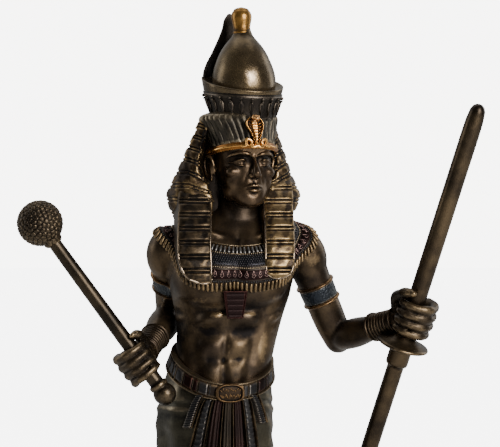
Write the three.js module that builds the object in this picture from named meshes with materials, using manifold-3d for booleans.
// An Egyptian king holding a mace and a long staff: a cold-cast bronze figurine on a low plinth.
// Millimetres, +Z up. The king faces -Y, and the origin is the centre of the plinth's underside.
import * as THREE from 'three';
import { mergeVertices } from 'three/addons/utils/BufferGeometryUtils.js';
import Module from 'manifold-3d';

const wasm = await Module();
wasm.setup();

// Driving dimensions of the real figurine
const stature = 250;
const plinthWidth = 78;
const plinthDepth = 102;
const plinthHeight = 14;
const plinthBevel = 1.8;
const figureSetback = 11.5;
const rodClearance = 0.3;
const maceBallRadius = 8.2;
const maceShaftRadius = 2.8;
const maceKnobRadius = 4.2;
const staffRadius = 3.4;
const staffDiscRadius = 9.9;
const staffSocketDepth = 4;

// The figure's own lengths are hundredths of its stature, measured up from its soles
const hundredth = stature / 100;
const inFigure = (x, y, z) =>
  new THREE.Vector3(x * hundredth, y * hundredth + figureSetback, z * hundredth + plinthHeight);

// Where the joints and grips stand, in hundredths of the stature
const shoulderRight = [-7.9, 1.0, 80.3];
const shoulderLeft = [12.0, 0.2, 80.3];
const elbowRight = [-7.0, 8.2, 67.6];
const elbowLeft = [18.7, 2.8, 65.6];
const gripRight = [-13.6, -7.0, 63.3];
const gripLeft = [26.6, -11.2, 69.6];
const maceBallCentre = [-28.0, -5.0, 83.4];
const maceKnobCentre = [-10.0, -7.5, 58.4];
const staffFoot = [10.6, 11.2];
const staffTipHeight = 100.6;
const staffDiscHeight = 65.4;
const headYaw = THREE.MathUtils.degToRad(10);
const chestYaw = THREE.MathUtils.degToRad(6);
const crownTilt = THREE.MathUtils.degToRad(-4);
const headCentre = [3.1, -0.4, 92.4];

const vector = (p) => new THREE.Vector3(...p);
const smoothStep = (low, high, x) => THREE.MathUtils.smoothstep(x, low, high);
const bell = (x, width) => Math.exp(-((x / width) ** 2));
const mound = (x, width) => Math.exp(-((x / width) ** 4));

/** A value that runs smoothly through rows of [place, value, value, ...]. */
function through(rows) {
  return (place) => {
    const last = rows.length - 1;
    let i = 0;
    while (i < last - 1 && place > rows[i + 1][0]) i += 1;
    const before = rows[Math.max(i - 1, 0)];
    const [a, b] = [rows[i], rows[i + 1]];
    const after = rows[Math.min(i + 2, last)];
    const t = THREE.MathUtils.clamp((place - a[0]) / (b[0] - a[0]), 0, 1);
    return a.slice(1).map((value, k) => {
      const span = b[0] - a[0];
      const leave = ((b[k + 1] - before[k + 1]) / (b[0] - before[0])) * span;
      const arrive = ((after[k + 1] - value) / (after[0] - a[0])) * span;
      const [t2, t3] = [t * t, t * t * t];
      return (2 * t3 - 3 * t2 + 1) * value + (t3 - 2 * t2 + t) * leave
        + (3 * t2 - 2 * t3) * b[k + 1] + (t3 - t2) * arrive;
    });
  };
}

/** A closed three.js geometry as a solid that faces outwards. */
function solid(geometry) {
  const bare = geometry.clone();
  for (const name of Object.keys(bare.attributes)) {
    if (name !== 'position') bare.deleteAttribute(name);
  }
  const merged = mergeVertices(bare, 1e-4);
  const corners = new Uint32Array(merged.index.array);
  const build = () => new wasm.Manifold(new wasm.Mesh({
    numProp: 3,
    vertProperties: merged.attributes.position.array,
    triVerts: corners,
  }));
  const made = build();
  if (made.volume() > 0) return made;
  for (let i = 0; i < corners.length; i += 3) {
    [corners[i], corners[i + 1]] = [corners[i + 1], corners[i]];
  }
  return build();
}

const join = (pieces) => pieces.reduce((whole, piece) => whole.add(piece));

/** Moves every vertex of a geometry to where place(vertex) says, in hundredths of the stature. */
function moved(geometry, place) {
  const position = geometry.getAttribute('position');
  const point = new THREE.Vector3();
  for (let i = 0; i < position.count; i += 1) {
    point.fromBufferAttribute(position, i);
    const [x, y, z] = place(point);
    const out = inFigure(x, y, z);
    position.setXYZ(i, out.x, out.y, out.z);
  }
  return geometry;
}

/** A closed tube whose point at an angle, a share of its length and a share of its radius place() gives. */
function shapedTube(around, rings, place) {
  const tube = new THREE.CylinderGeometry(1, 1, 1, around, rings);
  return solid(moved(tube, (p) => place(Math.atan2(p.x, p.z), 0.5 - p.y, Math.hypot(p.x, p.z))));
}

/** An upright form of level sections: rows of [height, centre x, centre y, half width, front, back]. */
function levelForm(around, heights, rows, relief = () => 0, squareness = 1, finerFront = 0) {
  const at = through(rows);
  return shapedTube(around, heights.length - 1, (turn, along, share) => {
    const z = heights[Math.round(along * (heights.length - 1))];
    const angle = turn - finerFront * Math.sin(turn);
    const [cx, cy, half, front, back] = at(z);
    const [s, c] = [Math.sin(angle), -Math.cos(angle)];
    const bulge = (v) => Math.sign(v) * Math.abs(v) ** squareness;
    const out = share * (1 + relief(angle, z) / half);
    return [cx + out * half * bulge(s), cy + out * (c < 0 ? front : back) * bulge(c), z];
  });
}

/** Heights or shares from low to high in equal steps. */
const steps = (low, high, count) =>
  Array.from({ length: count + 1 }, (_, i) => low + ((high - low) * i) / count);

/** A limb along a smooth line, ringed at shares of it, with rows of [share, radius, radius across]. */
function limb(points, rows, around, shares, side = [0, -1, 0], relief = () => 0) {
  const line = new THREE.CatmullRomCurve3(points.map(vector), false, 'centripetal');
  const size = through(rows);
  return shapedTube(around, shares.length - 1, (angle, ringPlace, share) => {
    const along = shares[Math.round(ringPlace * (shares.length - 1))];
    const centre = line.getPoint(along);
    const ahead = line.getTangent(along);
    const across = new THREE.Vector3().crossVectors(ahead, vector(side)).normalize();
    const facing = new THREE.Vector3().crossVectors(across, ahead).normalize();
    const [radius, wide] = size(along).map((r) => share * (r + relief(along)));
    centre.addScaledVector(across, wide * Math.sin(angle));
    centre.addScaledVector(facing, radius * Math.cos(angle));
    return centre.toArray();
  });
}

/** An ellipsoid of clay, turned so that its own x and z axes follow two given directions. */
function lump(centre, radii, around = 10, rings = 7, axisX = [1, 0, 0], axisZ = [0, 0, 1]) {
  const z = vector(axisZ).normalize();
  const y = new THREE.Vector3().crossVectors(z, vector(axisX)).normalize();
  const x = new THREE.Vector3().crossVectors(y, z);
  const ball = new THREE.SphereGeometry(1, around, rings);
  return solid(moved(ball, (p) => vector(centre)
    .addScaledVector(x, p.x * radii[0])
    .addScaledVector(y, p.z * radii[1])
    .addScaledVector(z, p.y * radii[2])
    .toArray()));
}

/** A ring of closed profile round an axis, from centre along axis: profile points are [radius, along]. */
function turnedRing(centre, axis, profile, around, stretch = [1, 1], side = [0, -1, 0]) {
  const z = vector(axis).normalize();
  const x = new THREE.Vector3().crossVectors(z, vector(side)).normalize();
  const y = new THREE.Vector3().crossVectors(z, x);
  const outline = [...profile, profile[0]].map(([r, h]) => new THREE.Vector2(r, h));
  const lathe = new THREE.LatheGeometry(outline, around);
  return solid(moved(lathe, (p) => vector(centre)
    .addScaledVector(x, p.x * stretch[0])
    .addScaledVector(y, p.z * stretch[1])
    .addScaledVector(z, p.y)
    .toArray()));
}

/** Turns head-local x and y by the head's yaw and sets them at the head's centre. */
function inHead(x, y, z) {
  const [s, c] = [Math.sin(headYaw), Math.cos(headYaw)];
  return [headCentre[0] + x * c - y * s, headCentre[1] + x * s + y * c, z];
}

/** An upright form in the head's own frame, from rows of [height, x, y, half width, front, back]. */
function headForm(around, heights, rows, relief = () => 0, squareness = 1) {
  const at = through(rows);
  return shapedTube(around, heights.length - 1, (angle, along, share) => {
    const z = heights[Math.round(along * (heights.length - 1))];
    const [cx, cy, half, front, back] = at(z);
    const [s, c] = [Math.sin(angle), -Math.cos(angle)];
    const bulge = (v) => Math.sign(v) * Math.abs(v) ** squareness;
    const out = share * (1 + relief(angle, z) / half);
    return inHead(cx + out * half * bulge(s), cy + out * (c < 0 ? front : back) * bulge(c), z);
  });
}

const headLump = (centre, radii, around, rings, axisX = [1, 0, 0], axisZ = [0, 0, 1]) => {
  const turned = (v) => {
    const [s, c] = [Math.sin(headYaw), Math.cos(headYaw)];
    return [v[0] * c - v[1] * s, v[0] * s + v[1] * c, v[2]];
  };
  return lump(inHead(...centre), radii, around, rings, turned(axisX), turned(axisZ));
};

// Plinth: a low block with rounded corners and a bevelled top edge
const plinthCorner = 6;

/** The plinth, whose 16 sides are bent into four rounded corners. */
function plinth() {
  const sides = 16;
  const block = new THREE.CylinderGeometry(1, 1, 2, sides, 2);
  const levels = [[0, 0], [plinthHeight - plinthBevel, 0], [plinthHeight, plinthBevel]];
  const position = block.getAttribute('position');
  for (let i = 0; i < position.count; i += 1) {
    const [z, inset] = levels[Math.round(position.getY(i)) + 1];
    const [x, y] = [position.getX(i), position.getZ(i)];
    const side = (Math.round((Math.atan2(y, x) * sides) / (2 * Math.PI)) + sides) % sides;
    const corner = Math.floor(side / 4);
    const turn = (Math.PI / 2) * (corner + (side % 4) / 3);
    const [right, back] = [corner % 3 ? -1 : 1, corner < 2 ? 1 : -1];
    const reach = Math.hypot(x, y) < 0.5 ? 0 : 1;
    position.setXYZ(i,
      reach * (right * (plinthWidth / 2 - plinthCorner) + (plinthCorner - inset) * Math.cos(turn)),
      reach * (back * (plinthDepth / 2 - plinthCorner) + (plinthCorner - inset) * Math.sin(turn)), z);
  }
  return solid(block);
}

// Torso: rows of [height, centre x, centre y, half width, front, back]
const torsoRows = [
  [52, -0.8, 0.2, 7.2, 5.4, 6.0],
  [58, -0.4, 0.1, 7.5, 5.9, 5.8],
  [62, 0.0, 0.0, 7.4, 6.0, 5.2],
  [65, 0.4, 0.1, 7.3, 5.6, 5.0],
  [69, 0.9, 0.2, 7.8, 6.0, 5.5],
  [73, 1.0, 0.3, 8.7, 6.8, 6.3],
  [77, 1.4, 0.4, 9.9, 7.2, 6.8],
  [80, 1.9, 0.6, 10.4, 6.4, 6.4],
  [82.5, 2.4, 0.9, 8.6, 4.7, 5.2],
  [84.2, 2.6, 1.1, 5.4, 3.6, 4.1],
  [86, 2.8, 1.0, 3.4, 3.2, 3.4],
];

// Muscles of the trunk: [across from the midline, height, width, tall, how far it stands out]
const frontMuscles = [
  [3.9, 75.9, 3.5, 4.1, 1.15],
  [2.2, 70.0, 1.7, 1.4, 0.6],
  [2.1, 66.6, 1.6, 1.5, 0.6],
  [2.0, 62.6, 1.7, 1.9, 0.5],
  [6.6, 70.5, 1.5, 4.0, 0.5],
];
const backMuscles = [
  [4.4, 78.0, 3.0, 3.6, 0.7],
  [2.4, 65.5, 1.6, 6.0, 0.5],
];

/** How far the trunk's carving stands out at an angle round it and a height. */
function trunkRelief(angle, z) {
  const across = Math.abs(Math.sin(angle)) * 9;
  const muscles = Math.cos(angle) > 0 ? frontMuscles : backMuscles;
  const out = muscles.reduce((sum, [x, height, wide, tall, high]) =>
    Math.max(sum, high * mound(across - x, wide) * mound(z - height, tall)), 0);
  return out * Math.abs(Math.cos(angle)) ** 0.5;
}

const torsoAround = 20;
const torsoHeights = [54, 61, 63.5, 66, 68.3, 70.3, 71.8, 73.4, 75.8, 78.5, 81, 83, 86];

/** The trunk from a height up to the neck's root, grown outwards by extra. */
function torso(extra = 0, from = 0) {
  const rows = torsoRows.map(([z, x, y, half, front, back]) =>
    [z, x, y, half + extra, front + extra, back + extra]);
  return levelForm(torsoAround, torsoHeights.filter((z) => z >= from), rows,
    (angle, z) => trunkRelief(angle + chestYaw, z), 0.92, 0.4);
}

/** The two shoulder caps and upper arms down to the armpit, grown outwards by extra. */
function shoulders(extra = 0) {
  return join([[shoulderRight, elbowRight], [shoulderLeft, elbowLeft]].map(([top, elbow]) => {
    const inner = vector(top).lerp(vector(elbow), 0.16);
    const r = 3.0 + extra;
    const down = vector(elbow).sub(vector(top)).toArray();
    return lump(inner.toArray(), [r, r + 0.3, 4.6 + extra], 10, 6, [1, 0, 0], down);
  }));
}

// Neck and head
function neck() {
  const rows = [[0, 3.9, 4.4], [0.35, 3.2, 3.3], [0.6, 2.9, 3.0], [1, 3.0, 3.1]];
  return limb([[2.6, 0.9, 79.5], [2.8, 0.4, 85], [3.1, 0.4, 91]], rows, 8, steps(0, 1, 3));
}

const headRows = [
  [85.9, 0, -3.1, 1.2, 1.0, 1.0],
  [86.5, 0, -2.4, 2.1, 2.2, 2.2],
  [87.6, 0, -1.4, 3.1, 3.6, 3.6],
  [89.2, 0, -0.3, 3.7, 4.7, 4.7],
  [91.0, 0, 0.2, 4.1, 5.1, 5.2],
  [92.6, 0, 0.4, 4.3, 5.0, 5.6],
  [94.2, 0, 0.4, 4.4, 5.4, 5.8],
  [96.5, 0, 0.5, 4.2, 5.1, 5.6],
  [99.1, 0, 0.6, 2.4, 2.6, 3.0],
];

/** The skull and face: the eye hollows are pressed in, and the nose, lips, eyes and ears are added. */
function head() {
  const heights = [85.9, 86.6, 87.9, 89.6, 91.6, 92.6, 93.4, 94.4, 98.0];
  const skull = headForm(14, heights, headRows, (angle, z) => {
    const across = Math.abs(Math.sin(angle)) * 4.4;
    const hollow = Math.cos(angle) > 0 ? 0.5 * bell(across - 1.9, 1.1) * bell(z - 92.6, 0.8) : 0;
    const chin = Math.cos(angle) > 0 ? 0.25 * bell(across, 1.3) * bell(z - 86.9, 0.9) : 0;
    return chin - hollow;
  });
  const noseLine = [[0, -4.7, 93.4], [0, -5.3, 92.2], [0, -6.1, 90.9], [0, -5.5, 90.2]];
  const nose = limb(noseLine.map((p) => inHead(...p)),
    [[0, 0.5, 0.5], [0.45, 0.55, 0.6], [0.8, 0.85, 1.05], [1, 0.5, 0.8]], 6, steps(0, 1, 3));
  const lips = [[88.95, 0.3], [88.35, 0.36]].map(([z, tall]) =>
    headLump([0, -4.75, z], [1.35, 0.6, tall], 6, 4));
  const eyes = [-1, 1].map((side) =>
    headLump([side * 1.9, -3.75, 92.55], [0.95, 0.62, 0.48], 6, 4));
  const ears = [-1, 1].map((side) =>
    headLump([side * 4.55, 0.3, 91.7], [0.8, 1.0, 1.6], 6, 4, [1, side * 0.35, 0], [0, 0.12, 1]));
  return join([skull, nose, ...lips, ...eyes, ...ears]);
}

// Head cloth: a striped bell that flares over the ears, two lappets on the chest and a tail at the back
const clothRows = [
  [80.5, -0.5, 2.8, 7.8, 3.0, 4.4],
  [83.5, -0.5, 2.6, 9.1, 4.2, 4.9],
  [86.2, -0.5, 2.4, 10.5, 5.0, 5.0],
  [88.0, -0.5, 2.2, 10.7, 5.2, 5.2],
  [91.2, -0.5, 1.7, 9.2, 5.6, 5.6],
  [94.8, -0.5, 1.0, 7.7, 6.5, 6.2],
  [97.3, -0.5, 0.7, 6.5, 6.3, 6.2],
  [99.8, -0.5, 0.7, 5.65, 5.6, 5.6],
  [101.4, -0.5, 0.7, 4.6, 4.6, 4.6],
];
const stripePitch = 2.05;
const clothFoot = 80.5;
const clothOpening = 4.7;
const earOpening = 5.7;
const earSpan = [86.7, 92.7];
const browHeight = 94.9;

/** The bell of the head cloth, with its stripes, cut open over the face. */
function clothBell() {
  const heights = [];
  for (let z = clothFoot; z < browHeight - 0.7; z += stripePitch) heights.push(z, z + 0.6);
  heights.push(browHeight, 98.2, 101.0);
  const relief = (angle, z) => {
    const place = (z - clothFoot) / stripePitch;
    return z < browHeight - 0.7 && place - Math.floor(place + 0.01) > 0.1 ? 0.22 : -0.22;
  };
  const whole = headForm(18, heights, clothRows, relief, 0.95);
  const arch = new THREE.Shape();
  const drop = 20;
  arch.moveTo(-clothOpening, -drop);
  const [lobe, top] = earSpan.map((z) => z - browHeight);
  arch.lineTo(clothOpening, -drop);
  arch.lineTo(clothOpening, lobe);
  arch.lineTo(earOpening, lobe + 1);
  arch.lineTo(earOpening, top);
  arch.quadraticCurveTo(clothOpening * 0.95, 0, 0, 0.5);
  arch.quadraticCurveTo(-clothOpening * 0.95, 0, -earOpening, top);
  arch.lineTo(-earOpening, lobe + 1);
  arch.lineTo(-clothOpening, lobe);
  const cut = new THREE.ExtrudeGeometry(arch, { depth: 12, bevelEnabled: false, curveSegments: 2 });
  const opening = moved(cut, (p) => inHead(p.x, 1.9 - p.z, browHeight + p.y));
  return whole.subtract(solid(opening));
}

const lappetLean = 5.6;

/** One lappet: a slab over the chest from centre x, with cross stripes and a narrowed lower end. */
function lappet(x, half, front) {
  const [low, high] = [74.5, 87.5];
  const stripes = Math.round((high - low) / stripePitch);
  const slab = new THREE.BoxGeometry(2, 1, 1, 1, 1, 2 * stripes);
  return solid(moved(slab, (p) => {
    const ring = Math.round((p.z + 0.5) * 2 * stripes);
    const step = ring % 2;
    const z = low + (Math.floor(ring / 2) + 0.3 * step) * stripePitch;
    const narrow = 1 - 0.32 * (1 - smoothStep(low, low + 2, z));
    const crown = 0.35 * step;
    const lean = lappetLean * smoothStep(76, 89, z);
    return [x + p.x * (half + 0.1 * step) * narrow, front + lean + (p.y > 0 ? 2.8 : -crown), z];
  }));
}

/** The gathered tail of the cloth behind the neck. */
function clothTail() {
  const line = [[0, 6.6, 90], [0, 7.4, 85], [0, 7.9, 79], [0, 7.3, 73]].map((p) => inHead(...p));
  const ribs = 7;
  const rows = [[0, 1.0, 1.4]];
  for (let i = 1; i <= ribs; i += 1) {
    const share = i / (ribs + 1);
    rows.push([share, 1.15 - 0.3 * share + (i % 2 ? 0.14 : 0), 1.5 - 0.4 * share + (i % 2 ? 0.14 : 0)]);
  }
  rows.push([1, 0.5, 0.6]);
  return limb(line, rows, 8, rows.map(([share]) => share), [0, 1, 0]);
}

/** The gold band round the brow. */
function browBand() {
  const profile = [[0, -0.55], [0.45, -0.45], [0.45, 0.45], [0, 0.55]];
  const outline = [...profile, profile[0]].map(([r, h]) => new THREE.Vector2(r + 1, h));
  const band = new THREE.LatheGeometry(outline, 18);
  return solid(moved(band, (p) => {
    const angle = Math.atan2(p.x, p.z);
    const reach = Math.hypot(p.x, p.z) - 1;
    const front = Math.cos(angle) > 0;
    const drop = 1.1 * (1 - Math.cos(angle)) * 0.5;
    return inHead(Math.sin(angle) * (5.2 + reach),
      0.9 - Math.cos(angle) * ((front ? 6.1 : 5.0) + reach), 94.7 + p.y - drop);
  }));
}

// Crowns: the cup of the lower crown, its high back, and the bulb of the upper crown
const cupRimHeight = 104.6;
const cupFloor = cupRimHeight - 1.4;
const crownShift = 0.3;
const cobraCount = 14;
const rimSlope = Math.tan(THREE.MathUtils.degToRad(20));

/** A point of the crowns: x and y about the head's centre, leaning back with height. */
function inCrown(x, y, z) {
  return inHead(x + crownShift, y + 0.4 - (z - 100) * Math.tan(crownTilt), z);
}

/** A form turned about the crown's axis from rows of [height, radius]. */
function crownForm(rows, around, place = (x, y, z) => inCrown(x, y, z)) {
  const outline = rows.map(([z, r]) => new THREE.Vector2(r, z));
  return solid(moved(new THREE.LatheGeometry(outline, around), (p) => place(p.x, -p.z, p.y)));
}

/** Rows of [height above the cup's rim, radius] as rows of [height, radius]. */
const fromRim = (rows) => rows.map(([above, r]) => [cupRimHeight + above, r]);

/** The lower crown: a flaring cup with a sloping rim and a frieze of cobras, hollow round the bulb. */
function crownCup() {
  const rows = fromRim([[-6, 0], [-6, 4.6], [-3.4, 5.1], [-1.3, 5.75], [-0.9, 6.05], [0, 6.25], [0, 0]]);
  const fluted = (z) => z > cupRimHeight - 3.6 && z < cupRimHeight - 1.1;
  const slope = (z) => smoothStep(cupRimHeight - 5.6, cupRimHeight, z);
  const outer = crownForm(rows, cobraCount * 2, (x, y, z) => {
    const turn = Math.round(Math.atan2(x, y) / (Math.PI / cobraCount));
    const grow = 1 + (fluted(z) && turn % 2 ? 0.07 : 0);
    return inCrown(x * grow, y * grow, z + y * rimSlope * slope(z));
  });
  const hollow = crownForm([[cupFloor, 0], [cupFloor, 5.2], [cupRimHeight + 2, 5.9],
    [cupRimHeight + 2, 0]], 14, (x, y, z) => inCrown(x, y, z + y * rimSlope * slope(z)));
  const core = crownForm([[headCentre[2], 0], [headCentre[2], 4], [cupFloor - 1, 4], [cupFloor - 1, 0]], 8);
  return outer.subtract(hollow).add(core);
}

/** The high back of the lower crown: a curved plate that narrows to a point. */
function crownBack() {
  const rows = fromRim([[-1.1, 1.25], [1.4, 1.05], [4.9, 0.6], [7.9, 0.34], [10.9, 0.16], [12.1, 0.03]]);
  const reach = through(rows);
  const [foot, tip] = [rows[0][0], rows[rows.length - 1][0]];
  const [radius, thick] = [5.85, 0.6];
  const plate = new THREE.BoxGeometry(2, 1, 1, 4, 1, 6);
  return solid(moved(plate, (p) => {
    const z = foot + (p.z + 0.5) * (tip - foot);
    const turn = p.x * reach(z)[0];
    const out = radius + p.y * thick;
    return inCrown(Math.sin(turn) * out, Math.cos(turn) * out, z);
  }));
}

/** The upper crown: a bulb that draws in to a neck and a round knob. */
function crownBulb() {
  return crownForm(fromRim([[-2, 0], [-2, 4.6], [0, 4.85], [2, 4.65], [4, 4.05], [5.7, 3.1],
    [7.2, 1.75], [8.2, 1.18], [9.1, 1.22], [10.3, 1.45], [11.3, 1.0], [11.7, 0]]), 12);
}

/** The cobra on the brow: a spread hood, a raised head and a coil below. */
function browCobra() {
  const hood = headLump([-0.2, -6.1, 97.2], [1.35, 0.75, 1.9], 8, 5);
  const raised = headLump([-0.2, -6.8, 99.1], [0.75, 1.0, 0.6], 6, 4);
  const coil = headLump([-0.2, -6.1, 95.3], [0.9, 0.95, 0.9], 6, 4);
  return join([hood, raised, coil]);
}

// Broad collar and pectoral
const collarCentre = [2.4, 0.6, 84.6];
const collarReach = [13.6, 12.6, 12.4];
const collarThick = 0.5;

/** The broad collar: it follows the chest, the shoulders and the back, and is open round the neck. */
function collar() {
  return join([torso(collarThick, 73), shoulders(collarThick)])
    .intersect(lump(collarCentre, collarReach, 16, 8))
    .subtract(lump([2.7, -1.2, 85.4], [5.2, 6.4, 6.2], 8, 5));
}

/** The small pectoral plate that hangs below the collar. */
function pectoral() {
  const outline = new THREE.Shape([[-1.7, 3.9], [-0.9, 0], [0.9, 0], [1.7, 3.9]]
    .map(([x, y]) => new THREE.Vector2(x, y)));
  const plate = new THREE.ExtrudeGeometry(outline, { depth: 1.6, bevelEnabled: false });
  return solid(moved(plate, (p) => [0.5 + p.x, -7.0 + 0.9 - p.z - 0.06 * p.y, 69.4 + p.y]));
}

// Arms: [share of the line, radius front to back, radius across]
const upperArmRows = [[0, 2.7, 2.6], [0.2, 3.1, 3.0], [0.5, 2.75, 2.7], [0.9, 2.3, 2.3], [1, 1.3, 1.5]];
const forearmRows = [[0, 1.3, 1.6], [0.1, 2.3, 2.3], [0.3, 2.55, 2.5], [0.6, 2.05, 2.0], [1, 1.55, 1.75]];
const elbowPoint = 1.5;
const armBandEnds = [0.37, 0.56];
const bangles = 4;
const bangleEnds = [0.66, 0.96];
const wristShare = 0.83;

/** The point a share of the way from one place to another. */
const between = (a, b, share) => vector(a).lerp(vector(b), share).toArray();

/** The point of an elbow, past the joint on the line from another place. */
const beyond = (from, elbow) => {
  const line = vector(elbow).sub(vector(from));
  return vector(elbow).addScaledVector(line.normalize(), elbowPoint).toArray();
};

/** The upper arm with the band round it: a shallow channel between two ridges. */
function upperArm(shoulder, elbow) {
  const [high, low] = armBandEnds;
  const edge = 0.012;
  const ridge = 0.035;
  const shares = [0, 0.2, high - edge, high, high + ridge, low - ridge, low, low + edge, 0.78, 0.92, 1];
  const relief = (share) => {
    if (share < high - edge / 2 || share > low + edge / 2) return 0;
    return share < high + ridge / 2 || share > low - ridge / 2 ? 0.5 : 0.2;
  };
  const end = beyond(shoulder, elbow);
  return limb([shoulder, between(shoulder, end, 0.5), end], upperArmRows, 8, shares, [0, -1, 0], relief);
}

/** The forearm with its stack of bangles above the wrist. */
function forearm(elbow, grip) {
  const wrist = between(elbow, grip, wristShare);
  const pitch = (bangleEnds[1] - bangleEnds[0]) / bangles;
  const start = beyond(wrist, elbow);
  const shares = [0, 0.1, 0.3, 0.52];
  for (let i = 0; i < bangles; i += 1) {
    shares.push(bangleEnds[0] + i * pitch, bangleEnds[0] + (i + 0.55) * pitch);
  }
  shares.push(bangleEnds[1], 1);
  const relief = (share) => {
    const place = (share - bangleEnds[0]) / pitch;
    return place > 0 && place < bangles && (place % 1) > 0.3 && (place % 1) < 0.8 ? 0.5 : 0.1;
  };
  return limb([start, between(start, wrist, 0.5), wrist], forearmRows, 8, shares, [0, -1, 0], relief);
}

/** One arm from shoulder to wrist. */
const arm = (shoulder, elbow, grip) => upperArm(shoulder, elbow).add(forearm(elbow, grip));

// Hands: a palm behind the rod, four fingers curled round it and a thumb along it
const fingerPitch = 1.5;
const fingerRadius = 0.8;

/** Axes of a fist: along the rod, towards the knuckles, and out of the back of the hand. */
function fistAxes(grip, rodTop, elbow, handed) {
  const along = vector(rodTop).sub(vector(grip)).normalize();
  const ahead = vector(grip).sub(vector(elbow));
  ahead.addScaledVector(along, -ahead.dot(along)).normalize();
  const back = new THREE.Vector3().crossVectors(along, ahead).multiplyScalar(handed);
  return { along, ahead, back };
}

/** The four fingers side by side, curled round a rod from the knuckles to their tips. */
function fingers(at, rod) {
  const curl = through([[0, 82, 0.75], [0.3, 25, 0.5], [0.6, -40, 0.25], [1, -145, 0]]);
  return shapedTube(16, 4, (angle, along, share) => {
    const [degrees, lift] = curl(along);
    const turn = THREE.MathUtils.degToRad(degrees);
    const quarter = Math.PI / 2;
    const outside = Math.abs(angle) < quarter * 1.01;
    const across = outside ? angle / quarter : Math.sign(angle) * 2 - angle / quarter;
    const onFinger = Math.round((across + 1) * 4) % 2;
    const edge = Math.abs(across) > 0.9;
    const ridge = (onFinger ? 1 : 0.55) * (edge ? 0.4 : 1);
    const radius = rod + fingerRadius * (0.95 + share * (outside ? ridge : -0.8)) + lift;
    const reach = share * across * 2 * fingerPitch * (1 - 0.12 * along);
    return at(reach, Math.cos(turn) * radius, Math.sin(turn) * radius);
  });
}

/** One fist closed on a rod of the given radius, in hundredths of the stature. */
function fist(grip, rodTop, elbow, handed, rod) {
  const { along, ahead, back } = fistAxes(grip, rodTop, elbow, handed);
  const at = (a, n, b) => vector(grip).addScaledVector(along, a).addScaledVector(ahead, n)
    .addScaledVector(back, b).toArray();
  const side = along.toArray();
  const thumb = [at(0.8, -rod - 2.4, -0.2), at(2.2, -rod - 1.4, -rod * 0.6 - 0.6),
    at(3.3, -rod * 0.4, -rod - 0.9), at(3.9, rod * 0.5, -rod - 0.75)];
  return join([
    lump(at(-0.1, -0.7, rod + 1.0), [2.9, 1.3, 3.0], 8, 5, ahead.toArray(), side),
    lump(at(-0.2, -rod - 1.7, 0.5), [2.0, 1.9, 2.7], 7, 4, ahead.toArray(), side),
    fingers(at, rod),
    limb(thumb, [[0, 1.1, 1.1], [0.5, 0.95, 0.95], [0.85, 0.85, 0.85], [1, 0.45, 0.45]], 6, steps(0, 1, 3), side),
  ]);
}

// Kilt: rows of [height, centre x, centre y, half width, front, back]
const kiltRows = [
  [32.5, -0.2, 0.2, 9.6, 11.2, 9.8],
  [42, -0.5, 0.2, 8.9, 9.6, 8.8],
  [50, -0.8, 0.1, 8.7, 8.3, 8.2],
  [55.5, -0.85, 0.1, 8.9, 7.7, 8.0],
  [60, -0.5, 0.1, 8.2, 7.1, 6.7],
  [65.5, -0.1, 0.0, 7.0, 5.8, 5.4],
];
const kiltFolds = 12;

/** The kilt's hanging folds: deeper towards the hem, flat under the apron. */
function kiltRelief(angle, z) {
  const fall = 1 - smoothStep(34, 58, z);
  const beside = 1 - bell(Math.sin(angle), 0.42) * (Math.cos(angle) > 0 ? 1 : 0);
  const folds = Math.cos(angle * kiltFolds + 1.4 * Math.sin(angle * 2)) * 0.34 * (0.25 + fall);
  const drape = 0.32 * Math.sin(z * 1.05 + 2.2 * Math.abs(Math.sin(angle))) * bell(z - 52, 7)
    * Math.abs(Math.sin(angle));
  return beside * (folds + drape);
}

/** The kilt from its hem up to the belt. */
function kilt() {
  const rings = [0, 0.2, 0.4, 0.62, 0.82, 1];
  return shapedTube(kiltFolds * 3, rings.length - 1, (angle, along, share) => {
    const low = kiltRows[0][0];
    const z = low + (beltHeight(angle) - low) * rings[Math.round(along * (rings.length - 1))];
    const point = onKilt(angle, z, kiltRelief(angle, z));
    return vector([kiltRows[0][1], 0, z]).lerp(vector(point), share).toArray();
  });
}

/** A point of the kilt's own surface before its folds, at an angle and a height. */
function onKilt(angle, z, out) {
  const [cx, cy, half, front, back] = through(kiltRows)(z);
  const c = -Math.cos(angle);
  return [cx + (half + out) * Math.sin(angle), cy + ((c < 0 ? front : back) + out) * c, z];
}

// Belt and apron
const beltTall = 2.1;
const beltHeight = (angle) => 62.0 - 2.7 * Math.cos(angle) - 0.4 * Math.cos(2 * angle) - 0.5 * Math.sin(angle);

/** The belt, low in front, with a raised edge above and below. */
function belt() {
  const h = beltTall / 2;
  const profile = [[-2.6, -h], [0.6, -h + 0.1], [0.6, h - 0.1], [-2.6, h]];
  const outline = [...profile, profile[0]].map(([r, z]) => new THREE.Vector2(r + 4, z));
  const ring = new THREE.LatheGeometry(outline, 18);
  return solid(moved(ring, (p) => {
    const angle = Math.atan2(p.x, p.z);
    const z = beltHeight(angle) + p.y;
    return onKilt(angle, z, Math.hypot(p.x, p.z) - 4);
  }));
}

/** The oval buckle on the belt's front, with a raised rim. */
function buckle() {
  const centre = [-0.3, -7.6, beltHeight(0) - 0.1];
  const disc = lump(centre, [2.25, 1.1, 1.45], 10, 5);
  const face = new THREE.BoxGeometry(6, 2, 4);
  const flat = solid(moved(face, (p) => [centre[0] + p.x, centre[1] - 1.7 + p.y, centre[2] + p.z]));
  const well = lump([centre[0], centre[1] - 0.85, centre[2]], [1.75, 0.35, 1.0], 8, 3);
  return disc.subtract(flat).subtract(well);
}

const apronRibbons = 6;
const apronSpread = [2.9, 6.3];
const apronHem = 33.2;

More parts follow.
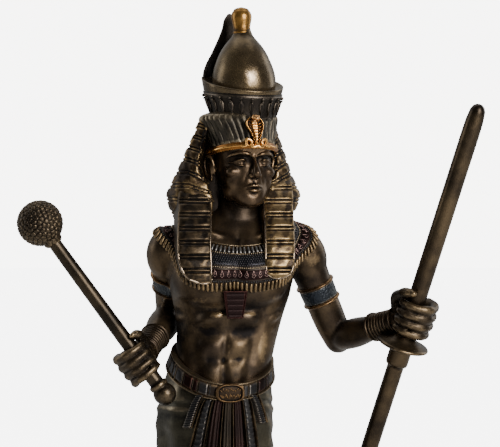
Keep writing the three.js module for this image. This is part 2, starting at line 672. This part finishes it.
/** A pleated strip laid on the front of the kilt: from and to are [middle, half width, height]. */
function strip(pleats, rows, from, to) {
  const cloth = new THREE.BoxGeometry(2, 1, 1, pleats * 2, 1, rows);
  return solid(moved(cloth, (p) => {
    const down = 0.5 - p.z;
    const [middle, half, z] = from.map((value, i) => value + (to[i] - value) * down);
    const [cx, , width] = through(kiltRows)(z);
    const sine = (middle + p.x * half - cx) / width;
    const ridge = Math.round((p.x + 1) * pleats) % 2 ? 0.85 : 0.4;
    return onKilt(Math.asin(THREE.MathUtils.clamp(sine, -0.95, 0.95)), z, p.y > 0 ? ridge : -1.2);
  }));
}

/** The apron: flaring ribbons down the middle and a short one at each side. */
function apron() {
  const top = beltHeight(0) - 0.4;
  return join([
    strip(apronRibbons, 4, [-0.3, apronSpread[0], top], [0.2, apronSpread[1], apronHem]),
    strip(1, 2, [-3.7, 0.8, top + 0.4], [-6.0, 0.9, 50.5]),
    strip(1, 2, [3.1, 0.8, top + 0.4], [5.9, 0.9, 50]),
  ]);
}

// Legs and feet
const hipLeft = [4.0, -0.6, 46];
const kneeLeft = [4.6, -5.0, 28];
const ankleLeft = [4.9, -9.6, 2.4];
const hipRight = [-4.6, 1.0, 46];
const kneeRight = [-4.9, 1.4, 28];
const ankleRight = [-5.0, 5.2, 2.4];

/** One leg from under the kilt to the ankle, with its kneecap and calf. */
function leg(hip, knee, ankle) {
  const rows = [[0, 5.0, 4.4], [0.28, 4.1, 3.7], [0.43, 3.3, 3.1], [0.5, 3.2, 2.9], [0.62, 3.3, 3.2],
    [0.72, 3.1, 3.0], [0.88, 1.95, 1.85], [1, 1.9, 1.8]];
  const calf = between(knee, ankle, 0.3);
  calf[1] += 0.9;
  return join([
    limb([hip, knee, calf, ankle], rows, 8, [0, 0.2, 0.36, 0.5, 0.62, 0.74, 0.88, 1]),
    lump([knee[0], knee[1] - 2.3, knee[2] - 0.3], [1.5, 1.1, 1.7], 6, 5),
  ]);
}

const footRows = [
  [-3.4, 0.9, 1.4],
  [-2.6, 1.5, 2.9],
  [-0.8, 1.9, 4.0],
  [1.4, 1.9, 3.9],
  [4.0, 2.3, 2.8],
  [7.0, 2.75, 1.9],
  [9.2, 2.6, 1.3],
];
const toes = [[-1.75, 10.3, 0.95], [-0.6, 10.3, 0.62], [0.35, 10.0, 0.58], [1.2, 9.5, 0.54], [2.0, 8.8, 0.52]];

/** One bare foot from its ankle; inner is the side of the big toe, -1 or 1. */
function foot(ankle, inner) {
  const size = through(footRows);
  const [heel, ball] = [footRows[0][0], footRows[footRows.length - 1][0]];
  const sole = shapedTube(8, 6, (angle, along, share) => {
    const ahead = heel + along * (ball - heel);
    const [half, tall] = size(ahead);
    const lift = Math.cos(angle) > 0 ? tall * Math.cos(angle) : 0.35 * Math.cos(angle);
    const width = half * Math.sin(angle) * (Math.cos(angle) > 0.1 ? 1.15 : 1);
    return [ankle[0] + share * width, ankle[1] - ahead, 0.25 + share * lift];
  });
  const ends = toes.map(([side, ahead, r]) =>
    lump([ankle[0] - inner * side, ankle[1] - ahead, r * 0.75], [r, r * 1.9, r * 0.85], 5, 3));
  return join([sole, ...ends]);
}

// Rods: each is a form turned about its own axis, from one place towards another
/** Sets a form turned about Z, in millimetres from the rod's start, along the line between two points. */
function alongRod(outline, start, end, around) {
  const rod = new THREE.LatheGeometry(outline.map(([h, r]) => new THREE.Vector2(r, h)), around);
  const aim = new THREE.Quaternion().setFromUnitVectors(
    new THREE.Vector3(0, 1, 0), end.clone().sub(start).normalize());
  return solid(rod.applyQuaternion(aim).translate(...start.toArray()));
}

const knobPoint = inFigure(...maceKnobCentre);
const ballPoint = inFigure(...maceBallCentre);
const maceLength = knobPoint.distanceTo(ballPoint);
const staffPointAt = (z) => {
  const share = z / gripLeft[2];
  const x = staffFoot[0] + (gripLeft[0] - staffFoot[0]) * share;
  const y = staffFoot[1] + (gripLeft[1] - staffFoot[1]) * share;
  return inFigure(x, y, z);
};
const staffGround = staffPointAt(0);
const staffTop = staffPointAt(staffTipHeight);
const staffLength = staffGround.distanceTo(staffTop);
const staffSlant = staffTop.clone().sub(staffGround).normalize();

/** Rows of [along, radius] round a ball from one angle to another. */
function arcRows(centre, radius, from, to, count) {
  return steps(from, to, count).map((degrees) => {
    const turn = THREE.MathUtils.degToRad(degrees);
    return [centre - Math.cos(turn) * radius, Math.sin(turn) * radius];
  });
}

/** The mace: a round butt, a collar, a plain shaft and a pebbled ball that draws in to the shaft. */
function mace() {
  const neckRadius = maceShaftRadius + 0.6;
  const handle = alongRod([
    ...arcRows(0, maceKnobRadius, 0, 130, 5),
    [maceKnobRadius * 0.75, neckRadius],
    [maceKnobRadius + 0.4, neckRadius],
    [maceKnobRadius + 0.9, maceShaftRadius],
    [maceLength, maceShaftRadius * 0.86],
    [maceLength, 0],
  ], knobPoint, ballPoint, 10);
  const ball = new THREE.IcosahedronGeometry(1, 3);
  const position = ball.getAttribute('position');
  const down = knobPoint.clone().sub(ballPoint).normalize();
  const point = new THREE.Vector3();
  for (let i = 0; i < position.count; i += 1) {
    point.fromBufferAttribute(position, i).normalize();
    const towards = point.dot(down);
    const pebble = 0.25 * Math.sin(point.x * 19) * Math.sin(point.y * 17 + 1) * Math.sin(point.z * 18 + 2);
    const radius = maceBallRadius + pebble + 1.7 * smoothStep(0.7, 1, towards);
    point.multiplyScalar(radius).add(ballPoint);
    position.setXYZ(i, point.x, point.y, point.z);
  }
  return handle.add(solid(ball));
}

const staffRows = () => {
  const disc = staffPointAt(staffDiscHeight).distanceTo(staffGround);
  const sleeve = 7.2;
  return [
    [-staffSocketDepth, 0],
    [-staffSocketDepth, staffRadius * 0.94],
    [disc - sleeve, staffRadius * 0.94],
    [disc - sleeve, staffRadius + 0.7],
    [disc - 1.2, staffRadius + 0.7],
    [disc - 0.7, staffDiscRadius - 0.4],
    [disc, staffDiscRadius],
    [disc + 0.5, staffDiscRadius - 0.5],
    [disc + 1.4, staffRadius * 1.7],
    [disc + 4.2, staffRadius],
    [staffLength - 12, staffRadius],
    [staffLength - 3, staffRadius * 0.85],
    [staffLength - 0.6, staffRadius * 0.5],
    [staffLength, 0],
  ];
};

/** The staff: a rod through the left fist, with a flared disc under the hand and its foot in the plinth. */
const staff = () => alongRod(staffRows(), staffGround, staffTop, 12);

/** The hole that leaves room for a rod, from one point to another. */
function rodHole(start, end, radius) {
  const length = start.distanceTo(end);
  const r = radius + rodClearance;
  return alongRod([[0, 0], [0, r], [length, r], [length, 0]], start, end, 12);
}

/** The figure and its plinth, cast as one, with the holes for the two rods. */
function figure() {
  const rodRight = maceShaftRadius / hundredth;
  const rodLeft = staffRadius / hundredth;
  const maceTop = vector(maceBallCentre).toArray();
  const staffAbove = [gripLeft[0] * 2 - staffFoot[0], gripLeft[1] * 2 - staffFoot[1], gripLeft[2] * 2];
  const cast = join([
    plinth(),
    foot(ankleLeft, -1), foot(ankleRight, 1),
    leg(hipLeft, kneeLeft, ankleLeft), leg(hipRight, kneeRight, ankleRight),
    kilt(), belt(), apron(), buckle(),
    torso(), shoulders(), collar(), pectoral(), neck(), head(),
    arm(shoulderRight, elbowRight, gripRight), arm(shoulderLeft, elbowLeft, gripLeft),
    fist(gripRight, maceTop, elbowRight, -1, rodRight),
    fist(gripLeft, staffAbove, elbowLeft, 1, rodLeft),
    clothBell(), clothTail(), lappet(-5.5, 2.4, -8.0), lappet(7.3, 2.25, -7.6),
    browBand(), crownCup(), crownBack(), crownBulb(), browCobra(),
  ]);
  const maceDirection = ballPoint.clone().sub(knobPoint).normalize();
  const maceHole = rodHole(
    knobPoint.clone().addScaledVector(maceDirection, maceKnobRadius + 0.6),
    ballPoint.clone().addScaledVector(maceDirection, -maceBallRadius), maceShaftRadius);
  const socketFloor = staffGround.clone().addScaledVector(staffSlant, -staffSocketDepth - rodClearance);
  const staffHole = rodHole(socketFloor, staffTop, staffRadius);
  return cast.subtract(maceHole).subtract(staffHole).subtract(discRoom());
}

/** The room that the hand leaves for the staff's flared disc. */
function discRoom() {
  const disc = staffPointAt(staffDiscHeight).distanceTo(staffGround);
  return alongRod([
    [disc - 8, 0], [disc - 8, staffRadius + 1],
    [disc - 1.4, staffRadius + 1], [disc - 1.1, staffDiscRadius + rodClearance],
    [disc + 0.6, staffDiscRadius + rodClearance], [disc + 1.8, staffRadius * 1.7 + rodClearance],
    [disc + 4.6, staffRadius + rodClearance], [disc + 4.6, 0],
  ], staffGround, staffTop, 12);
}

/** A solid as a named three.js mesh with its own material. */
function mesh(name, made, material) {
  const { vertProperties, triVerts } = made.getMesh();
  const geometry = new THREE.BufferGeometry();
  geometry.setAttribute('position', new THREE.BufferAttribute(new Float32Array(vertProperties), 3));
  geometry.setIndex(new THREE.BufferAttribute(new Uint32Array(triVerts), 1));
  geometry.computeVertexNormals();
  const result = new THREE.Mesh(geometry, material);
  result.name = name;
  return result;
}

const bronze = new THREE.MeshStandardMaterial({ color: '#6d5636', roughness: 0.42, metalness: 0.75 });
const darkBronze = new THREE.MeshStandardMaterial({ color: '#54432c', roughness: 0.45, metalness: 0.75 });
const stippledBronze = new THREE.MeshStandardMaterial({ color: '#4f4130', roughness: 0.5, metalness: 0.7 });

const statue = new THREE.Group();
statue.add(mesh('figure_with_plinth', figure(), bronze));
statue.add(mesh('mace', mace(), stippledBronze));
statue.add(mesh('staff', staff(), darkBronze));

export default statue;
